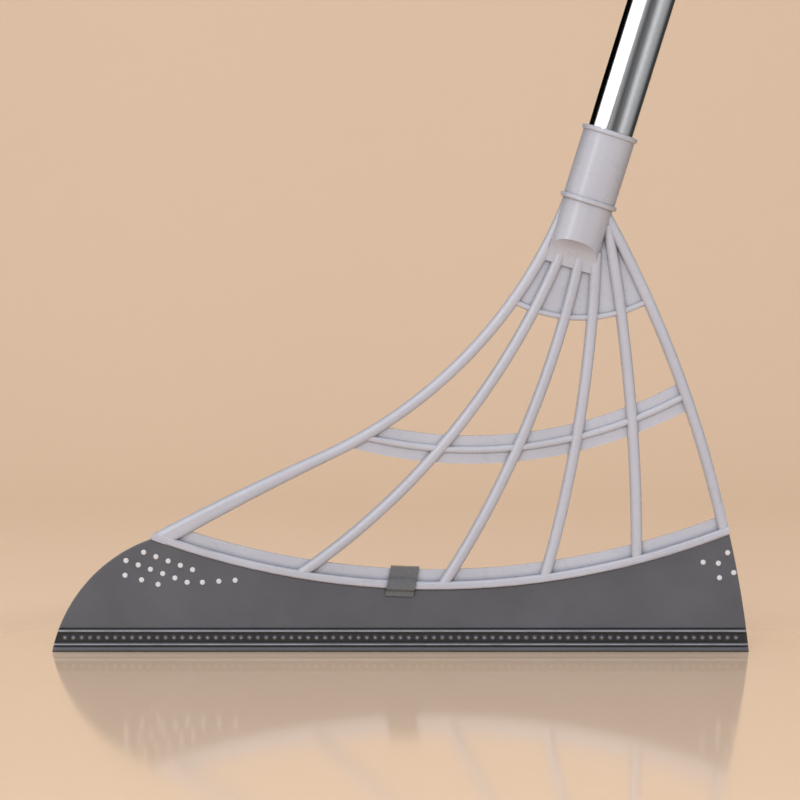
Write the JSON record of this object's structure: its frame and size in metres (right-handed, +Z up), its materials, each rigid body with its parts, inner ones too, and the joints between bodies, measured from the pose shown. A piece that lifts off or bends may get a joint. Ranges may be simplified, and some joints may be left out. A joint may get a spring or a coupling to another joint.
{
  "type": "fan-shaped rubber sweeper",
  "caption": "Hand sweeper for carpets and floors: fan-shaped ribbed plastic frame with a flexible rubber blade on a leaning, screw-together steel pole.",
  "frame": {"origin": "middle of the blade's working edge, on the floor", "axes": "+Z up from the floor, +X along the blade towards the side the pole leans to, +Y across the blade's thickness"},
  "size_m": [0.5503, 0.029, 1.1419],
  "materials": {
    "frame_plastic": "light grey moulded polypropylene, soft satin",
    "blade_rubber": "matt dark grey soft rubber",
    "pin_plastic": "light grey moulded nubs",
    "clip_plastic": "dark grey moulded plastic, satin",
    "tube_steel": "polished stainless steel, faint drawn lines",
    "thread_plastic": "dark grey glass-filled nylon",
    "ring_plastic": "light grey moulded polypropylene",
    "grip_rubber": "matt dark grey soft grip"
  },
  "bodies": {
    "head": {"fan_frame": "frame_plastic", "blade": "blade_rubber", "centre_clip": "clip_plastic", "blade_pins_left": "pin_plastic", "blade_pins_right": "pin_plastic"},
    "blade_lip": {"blade_lip": "blade_rubber"},
    "ring_1": {"joint_ring_1": "ring_plastic"},
    "pole_1": {"pole_tube_1": "tube_steel", "threaded_plug_1": "thread_plastic", "threaded_bush_1": "thread_plastic"},
    "ring_2": {"joint_ring_2": "ring_plastic"},
    "pole_2": {"pole_tube_2": "tube_steel", "threaded_plug_2": "thread_plastic", "threaded_bush_2": "thread_plastic"},
    "ring_3": {"joint_ring_3": "ring_plastic"},
    "pole_3": {"pole_tube_3": "tube_steel", "threaded_plug_3": "thread_plastic", "threaded_bush_3": "thread_plastic"},
    "ring_4": {"joint_ring_4": "ring_plastic"},
    "pole_4": {"pole_tube_4": "tube_steel", "threaded_plug_4": "thread_plastic", "grip_sleeve": "grip_rubber", "end_cap": "frame_plastic"}
  },
  "joints": [
    {"name": "blade_flex", "type": "hinge", "parent": "head", "child": "blade_lip", "pos_m": [0, 0, 0.019], "axis": [1, 0, 0], "range_deg": [-22, 22], "stiffness_Nm_per_rad": 0.3},
    {"name": "pole_1_advance", "type": "slide", "parent": "head", "child": "ring_1", "axis": [0.2957, 0, 0.9553], "range_m": [0, 0.016]},
    {"name": "pole_1_unscrew", "type": "hinge", "parent": "ring_1", "child": "pole_1", "pos_m": [0.09231, 0, 0.22476], "axis": [0.2957, 0, 0.9553], "range_deg": [0, 1440]},
    {"name": "pole_2_advance", "type": "slide", "parent": "pole_1", "child": "ring_2", "axis": [0.2957, 0, 0.9553], "range_m": [0, 0.016]},
    {"name": "pole_2_unscrew", "type": "hinge", "parent": "ring_2", "child": "pole_2", "pos_m": [0.16098, 0, 0.44658], "axis": [0.2957, 0, 0.9553], "range_deg": [0, 1440]},
    {"name": "pole_3_advance", "type": "slide", "parent": "pole_2", "child": "ring_3", "axis": [0.2957, 0, 0.9553], "range_m": [0, 0.016]},
    {"name": "pole_3_unscrew", "type": "hinge", "parent": "ring_3", "child": "pole_3", "pos_m": [0.22964, 0, 0.66839], "axis": [0.2957, 0, 0.9553], "range_deg": [0, 1440]},
    {"name": "pole_4_advance", "type": "slide", "parent": "pole_3", "child": "ring_4", "axis": [0.2957, 0, 0.9553], "range_m": [0, 0.016]},
    {"name": "pole_4_unscrew", "type": "hinge", "parent": "ring_4", "child": "pole_4", "pos_m": [0.2983, 0, 0.89021], "axis": [0.2957, 0, 0.9553], "range_deg": [0, 1440]}
  ],
  "couplings": [
    {"joint": "pole_1_unscrew", "follows": "pole_1_advance", "rad_per_m": 1570.8},
    {"joint": "pole_2_unscrew", "follows": "pole_2_advance", "rad_per_m": 1570.8},
    {"joint": "pole_3_unscrew", "follows": "pole_3_advance", "rad_per_m": 1570.8},
    {"joint": "pole_4_unscrew", "follows": "pole_4_advance", "rad_per_m": 1570.8}
  ]
}
